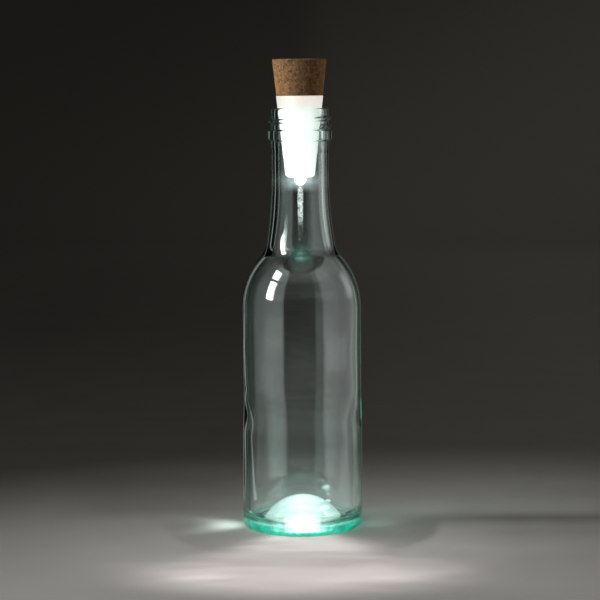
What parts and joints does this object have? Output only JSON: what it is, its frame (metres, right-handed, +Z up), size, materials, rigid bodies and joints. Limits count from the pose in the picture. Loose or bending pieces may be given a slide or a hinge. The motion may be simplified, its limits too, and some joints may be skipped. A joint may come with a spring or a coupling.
{
  "type": "cork bottle light",
  "caption": "Small glass wine bottle with a rechargeable cork-shaped light that plugs its mouth and glows down the neck.",
  "frame": {"origin": "middle of the bottle's foot, on the surface that it stands on", "axes": "+Z up along the bottle's axis; the wide side of the USB plug lies along X; the switch faces -Y"},
  "size_m": [0.0528, 0.0528, 0.205],
  "materials": {
    "bottle_glass": "clear pale aqua-green moulded glass, glossy",
    "plug_plastic": "translucent frosted white plastic, lit from inside",
    "deck_plastic": "white moulded plastic, satin",
    "usb_steel": "nickel-plated folded steel",
    "tongue_plastic": "white moulded plastic",
    "contact_gold": "gold-plated",
    "board_green": "green lacquered board",
    "chip_black": "black moulded resin",
    "lead_tin": "tinned metal",
    "resistor_black": "black lacquered ceramic with bright ends",
    "capacitor_tan": "tan ceramic with bright ends",
    "indicator_resin": "red tinted resin",
    "cell_foil": "silver laminate foil, satin",
    "tab_nickel": "nickel strip",
    "foam_white": "white foam tape",
    "led_epoxy": "clear epoxy",
    "switch_steel": "tinned sheet",
    "switch_plastic": "black moulded plastic",
    "cork": "agglomerated cork, matt, with darker granules",
    "liner_plastic": "natural moulded plastic"
  },
  "bodies": {
    "bottle": {"bottle": "bottle_glass"},
    "light_unit": {"body_shell": "plug_plastic", "deck": "deck_plastic", "usb_shell": "usb_steel", "usb_tongue": "tongue_plastic", "usb_contacts": "contact_gold", "circuit_board": "board_green", "charger_chip": "chip_black", "chip_legs": "lead_tin", "resistors": "resistor_black", "capacitors": "capacitor_tan", "charge_indicator": "indicator_resin", "battery_cell": "cell_foil", "battery_tabs": "tab_nickel", "foam_tape": "foam_white", "led_lens": "led_epoxy", "led_leads": "lead_tin", "switch_housing": "switch_steel", "switch_terminals": "lead_tin"},
    "switch": {"switch_actuator": "switch_plastic", "switch_knob": "switch_plastic"},
    "cap": {"cork_cap": "cork", "cap_liner": "liner_plastic"}
  },
  "joints": [
    {"name": "light_lift", "type": "slide", "parent": "bottle", "child": "light_unit", "axis": [0, 0, 1], "range_m": [0, 0.045]},
    {"name": "cap_pull", "type": "slide", "parent": "light_unit", "child": "cap", "axis": [0, 0, 1], "range_m": [0, 0.02]},
    {"name": "switch_slide", "type": "slide", "parent": "light_unit", "child": "switch", "axis": [-1, 0, 0], "range_m": [0, 0.0015]}
  ]
}
